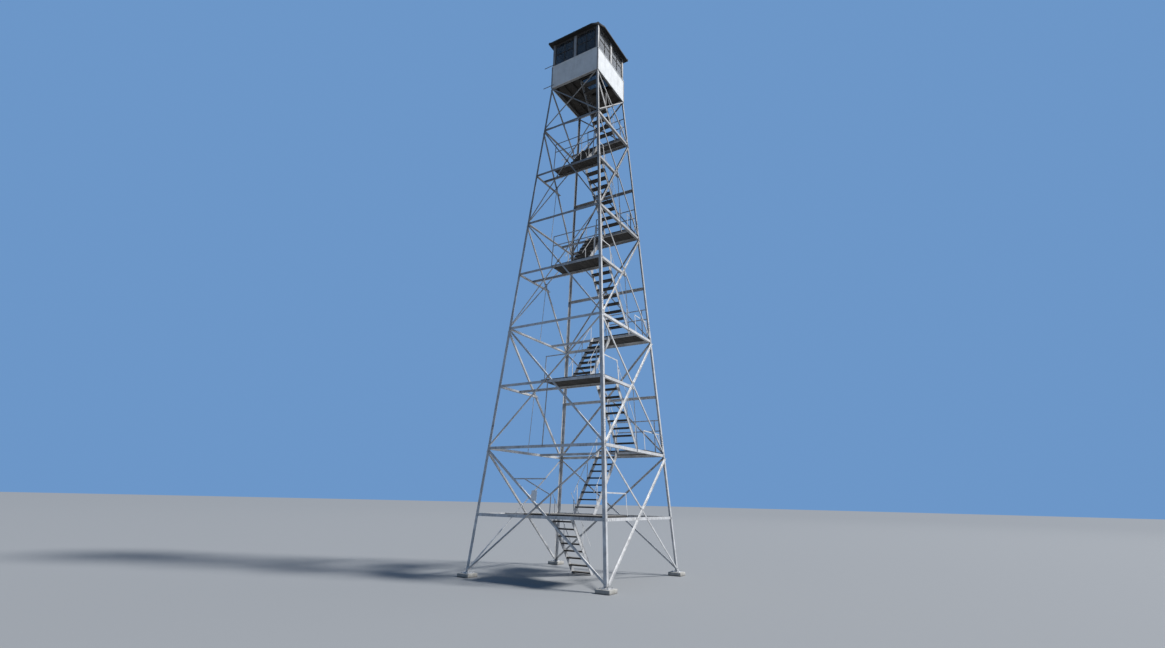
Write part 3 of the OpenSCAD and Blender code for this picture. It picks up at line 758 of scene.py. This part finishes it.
# Sign plate
# A bare enamelled steel plate on the front, bolted to the diagonals beside their lowest crossing. It
# carries nothing, and its white has dulled in patches.

enamel, tree, shader, place = new_finish("white_enamel", roughness=0.35)
patch = put(tree, "Group", {"Vector": place, "Size": 0.12}, node_tree=patches)
tree.links.new(blend_colours(tree, patch.outputs["Patches"], (0.78, 0.78, 0.76, 1), (0.90, 0.91, 0.91, 1)),
               shader["Base Color"])

sign_x, sign_v, sign_out, sign_t = (-0.20, 0.0), (up_face(2.26), up_face(2.56)), 0.060, 0.0025
block(sign_x, sign_v, (sign_out - sign_t, sign_out))
pick("edges", lambda middle, way: abs(way.z) > 0.9)
bpy.ops.mesh.bevel(offset=0.018, segments=4)
sign = round_edges(done(), 0.0006)
sign.data.transform(on_face(0))
take_up(enamel, [sign], "sign_plate")
sign_bolt_places = [on_face(0, sign_x[0] + 0.1, v, sign_out) for v in (sign_v[0] + 0.02, sign_v[1] - 0.02)]
take_up(bolt_zinc, copies(bolt(0.010, 0.006), sign_bolt_places), "sign_bolts")

# Cab floor
# Joists of sawn timber on the top girts, and square-edged boards across them, with the hatch left open
# over the last flight. From below they are nearly black with age and creosote.

creosoted = timber_finish("creosoted_timber", (0.018, 0.015, 0.012, 1), (0.055, 0.046, 0.038, 1),
                          (0.16, 0.14, 0.12, 1), (0.05, 1.0, 1.0))
dress(creosoted, "cab_joists")

cab_half, wall_t, floor_t = 1.067, 0.045, 0.045
floor_half = cab_half - wall_t - 0.0003
hatch_x = (half_at(top_z) - side_gap - stair_w - 0.030, half_at(top_z) - side_gap + 0.030)
hatch_y = (-front_joist_y, 0.150)
whole, beside_hatch = ((-floor_half, floor_half),), ((-floor_half, hatch_x[0]), (hatch_x[1], floor_half))
boards = []
for low, high, count, spans in ((-floor_half, hatch_y[0], 1, whole), (*hatch_y, 7, beside_hatch),
                                (hatch_y[1], floor_half, 6, whole)):
    width = (high - low) / count
    for left, right_end in spans:
        middle = (left + right_end) / 2
        places = [Matrix.Translation((middle, low + (i + 0.5) * width, top_z + floor_t))
                  @ Matrix.Rotation(pi / 2, 4, "Z") for i in range(count)]
        boards += copies(board(right_end - left, width - 0.002, floor_t), places)
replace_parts(take_up(creosoted, boards, "floor_boards"), "cab_floor")

# Cab walls
# White-painted steel sheets over a light frame, which hang over the top girts. Flat strips are riveted
# over the seams and along the foot, and angles are screwed over the corners. A folded sill sheds the rain.

paint, tree, shader, place = new_finish("white_paint", roughness=0.42)
patch = put(tree, "Group", {"Vector": place, "Size": 0.35}, node_tree=patches)
run = put(tree, "Group", {"Vector": place, "Width": 0.035}, node_tree=streaks)
coat = blend_colours(tree, patch.outputs["Patches"], (0.55, 0.56, 0.555, 1), (0.67, 0.68, 0.675, 1))
coat = blend_colours(tree, times(tree, run.outputs[0], 0.45), coat, (0.36, 0.34, 0.30, 1))
chips = put(tree, "TexNoise", {"Vector": place, "Scale": 38.0, "Detail": 6.0}).outputs[0]
coat = blend_colours(tree, spread(tree, chips, 0.70, 0.74), coat, (0.24, 0.15, 0.10, 1))
# Painted shade: the inner faces of the walls turn dark brown, standing in for the dim light inside the cab.
off_middle = put(tree, "VectorMath", {0: place}, operation="ABSOLUTE").outputs[0]
off_middle = put(tree, "SeparateXYZ", {0: off_middle}).outputs
off_middle = put(tree, "Math", {0: off_middle["X"], 1: off_middle["Y"]}, operation="MAXIMUM").outputs[0]
painted_shade_indoors = spread(tree, off_middle, 1.025, 1.035, 1.0, 0.0)
tree.links.new(blend_colours(tree, painted_shade_indoors, coat, (0.07, 0.055, 0.045, 1)), shader["Base Color"])
tree.links.new(spread(tree, patch.outputs["Fine"], 0.0, 1.0, 0.36, 0.54), shader["Roughness"])
dimpled = put(tree, "Bump", {"Strength": 0.2, "Distance": 0.001, "Height": patch.outputs["Fine"]})
tree.links.new(dimpled.outputs[0], shader["Normal"])

dress(paint, "cab_wall_front", "cab_wall_right", "cab_wall_back", "cab_wall_left")

sill_h, sheet_out = 0.963, 0.020
foot_half, sheet_foot = cab_half + sheet_out - 0.001, -girt_w


def on_wall(face, x=0.0, out=0.0, z=0.0):
    """A place on an upright cab wall: x along it, out from the posts, and z over the cab floor."""
    return quarter(face) @ Matrix.Translation((x, -cab_half - out, top_z + z))


def strip(x, z, depth):
    """A flat strip on the wall, over a range of x and z, with slightly rounded edges."""
    block(x, (-depth, 0), z)
    return round_edges(done(), 0.0012)


on_posts = [on_wall(face) for face in range(4)]
on_sheets = [on_wall(face, out=sheet_out) for face in range(4)]
outwards = Matrix.Rotation(pi / 2, 4, "X")

corner_w, corner_t = 0.050, 0.004
strip_half = foot_half - corner_w
trims = [strip((-strip_half, strip_half), (sheet_foot, sheet_foot + 0.07), 0.003)]
rivet_places = []
for z in (sheet_foot + 0.018, sheet_foot + 0.052):
    rivet_places += [Matrix.Translation((-foot_half + 0.07 + i * 0.1016, -0.003, z)) for i in range(21)]
for x, width in ((0, 0.060), (-0.535, 0.036), (0.535, 0.036)):
    trims.append(strip((x - width / 2, x + width / 2), (sheet_foot + 0.07, sill_h - 0.030), 0.0025))
    for column in ((x - 0.020, x + 0.020) if x == 0 else (x,)):
        rivet_places += [Matrix.Translation((column, -0.0025, 0.03 + i * 0.1)) for i in range(9)]
block((-foot_half, foot_half), (-0.014, 0), (sill_h - 0.030, sill_h - 0.001))
pick("points", lambda point, normal: point.y < -0.01 and point.z > sill_h - 0.01)
bpy.ops.transform.translate(value=(0, 0, -0.007))
trims.append(round_edges(done(), 0.0015))
rod(8, 0.0065, 0, 0.002)
pick("faces", lambda middle, normal: normal.z > 0.9)
bpy.ops.mesh.inset(thickness=0.0025)
bpy.ops.transform.translate(value=(0, 0, 0.0015))
rivet = done(60)
rivet.data.transform(outwards)
wall_trim = join(trims + copies(rivet, rivet_places))
take_up(paint, copies(wall_trim, on_sheets), "wall_strips")

corner_x, corner_z = cab_half + sheet_out + corner_t, (sheet_foot, sill_h - 0.031)
block((-corner_x, corner_t - corner_x), (-corner_t, 0), corner_z)
pick("faces", lambda middle, normal: normal.x > 0.9)
draw_out(corner_w, 0, 0)
pick("faces", lambda middle, normal: normal.y > 0.9 and middle.x < corner_t - corner_x)
draw_out(0, corner_w, 0)
corner = round_edges(done(), 0.001)
take_up(galvanised, copies(corner, on_sheets), "corner_angles")
corner_screws = [on_wall(face, side * (corner_x - 0.030), sheet_out + corner_t, z) @ outwards
                 for face in range(4) for side in (-1, 1) for z in (0.02, 0.25, 0.48, 0.71, 0.90)]
take_up(bolt_zinc, copies(bolt(0.007, 0.020, 0.003), corner_screws), "corner_screws")

# Window posts
# Galvanised posts at the corners, and between the two windows of each side a cover plate of the same
# galvanised steel with less painted shade at the top, held by pairs of screws.

soften("corner_posts", 0.004, galvanised)

wall_h, head_h, cover_half, cover_t = 2.044, 0.024, 0.054, 0.004
cover = strip((-cover_half, cover_half), (sill_h + 0.001, wall_h - head_h), cover_t)
# Painted shade: the cover plates keep more of their brightness at the top than the other steel.
cover_steel = steel_finish("cover_steel", zinc_bright, zinc_dull, rain_stain, painted_shade_at_top=0.95)
take_up(cover_steel, copies(cover, on_posts), "post_covers")
screw_places = [on_wall(face, x, cover_t, z) @ outwards
                for face in range(4) for x in (-0.035, 0.035) for z in (1.05, 1.28, 1.51, 1.74, 1.96)]
take_up(bolt_zinc, copies(bolt(0.008, 0.030, 0.004), screw_places), "cover_screws")

# Windows
# Two fixed wooden sashes of four lights in each side, weathered brown, under a black head board. The
# glass is old and dusty, and the windows have no hinge.

sash_wood = timber_finish("weathered_sashes", (0.040, 0.034, 0.028, 1), (0.13, 0.115, 0.10, 1),
                          (0.20, 0.185, 0.165, 1), (0.05, 0.05, 1.0))
soften("window_sashes", 0.0015, sash_wood)

dark_wood = timber_finish("dark_boards", (0.010, 0.009, 0.008, 1), (0.028, 0.025, 0.022, 1),
                          (0.055, 0.050, 0.045, 1), (0.05, 0.05, 1.0))

clear_w = cab_half - 0.100
head_board = strip((-clear_w + 0.001, clear_w - 0.001), (wall_h - head_h - 0.010, wall_h - 0.001), 0.012)
take_up(dark_wood, copies(head_board, on_posts), "head_boards")

glass, tree, shader, place = new_finish("window_glass", roughness=0.03)
shader["Transmission Weight"].default_value = 0.93
shader["IOR"].default_value = 1.45
shader["Sheen Weight"].default_value = 0.35
shader["Sheen Roughness"].default_value = 0.35
patch = put(tree, "Group", {"Vector": place, "Size": 0.5}, node_tree=patches)
tree.links.new(blend_colours(tree, patch.outputs["Patches"], (0.24, 0.26, 0.28, 1), (0.30, 0.32, 0.34, 1)),
               shader["Base Color"])
tree.links.new(spread(tree, patch.outputs["Patches"], 0.0, 1.0, 0.02, 0.05), shader["Roughness"])
dress(glass, "window_glass")

# Arms at the corner
# Two flat galvanised bars that reach out past the left front corner, at the floor and over the sill,
# each held by two bolts.

dress(galvanised, "cab_arms")

arm_bolt_places = [on_wall(0, x - cab_half, out + 0.005, z) @ outwards
                   for x in (0.025, 0.075) for z, out in ((0.039, sheet_out), (1.048, 0))]
take_up(bolt_zinc, copies(bolt(0.012, 0.020), arm_bolt_places), "arm_bolts")

# Eaves and roof
# A low hipped roof of dark painted sheets with standing seams, capped hips and a plain peak. It is cut
# back to the post at the front right corner, and dark boards close the eaves below.

dress(dark_wood, "soffit")

roof_dark, tree, shader, place = new_finish("dark_roof_sheet", roughness=0.75)
shader["Specular IOR Level"].default_value = 0.3
patch = put(tree, "Group", {"Vector": place, "Size": 0.4}, node_tree=patches)
run = put(tree, "Group", {"Vector": place, "Width": 0.05}, node_tree=streaks)
sheet = blend_colours(tree, patch.outputs["Patches"], (0.014, 0.015, 0.017, 1), (0.036, 0.038, 0.040, 1))
sheet = blend_colours(tree, times(tree, run.outputs[0], 0.5), sheet, (0.075, 0.050, 0.033, 1))
tree.links.new(sheet, shader["Base Color"])
tree.links.new(spread(tree, patch.outputs["Fine"], 0.0, 1.0, 0.66, 0.86), shader["Roughness"])
dented = put(tree, "Bump", {"Strength": 0.3, "Distance": 0.002, "Height": patch.outputs["Patches"]})
tree.links.new(dented.outputs[0], shader["Normal"])
soften("roof", 0.004, roof_dark)

eave_w, fascia_h, roof_rise, corner_cut = 0.155, 0.055, 0.560, 0.410
eave_half, eave_z = cab_half + eave_w, top_z + wall_h + fascia_h
slope = atan(roof_rise / eave_half)
seams = []
for face in range(4):
    for i in range(-2, 3):
        x = i * 0.42
        over_cut = x if face == 0 else -x if face == 1 else 0
        start = max(0.012, (over_cut - eave_half + corner_cut) * eave_w / (corner_cut - eave_w) + 0.012)
        block((-0.009, 0.009), (0, (eave_half - abs(x) - start - 0.03) / cos(slope)), (-0.002, 0.022))
        pick("faces", lambda middle, normal: normal.z > 0.9)
        bpy.ops.transform.resize(value=(0.7, 1, 1))
        seam = round_edges(done(), 0.002)
        foot = quarter(face) @ Matrix.Translation((x, start - eave_half, eave_z + start * tan(slope)))
        seam.data.transform(foot @ Matrix.Rotation(slope, 4, "X"))
        seams.append(seam)
for face in range(4):
    start = (eave_w if face == 0 else 0) + 0.010
    block((-0.045, 0.045), (0, (eave_half - start) * hypot(sqrt(2), tan(slope))), (-0.006, 0.006))
    pick("faces", lambda middle, normal: abs(normal.x) < 0.5)
    bpy.ops.mesh.subdivide(number_cuts=1)
    pick("points", lambda point, normal: abs(point.x) < 0.001)
    bpy.ops.transform.translate(value=(0, 0, 0.014))
    cap = round_edges(done(), 0.002)
    cap.data.transform(quarter(face) @ Matrix.Rotation(pi / 4, 4, "Z")
                       @ Matrix.Translation((0, (start - eave_half) * sqrt(2), eave_z + start * tan(slope)))
                       @ Matrix.Rotation(atan(tan(slope) / sqrt(2)), 4, "X"))
    seams.append(cap)
bpy.ops.object.select_all(action="DESELECT")
bpy.ops.mesh.primitive_cone_add(vertices=12, radius1=0.11, radius2=0.03, depth=0.04,
                                location=(0, 0, eave_z + roof_rise - 0.010))
bpy.ops.object.transform_apply(location=True, rotation=True, scale=True)
bpy.ops.object.mode_set(mode="EDIT")
pick("faces", lambda middle, normal: normal.z > 0.95)
draw_out(0, 0, 0.006)
seams.append(round_edges(done(), 0.003))
take_up(roof_dark, seams, "roof_seams")
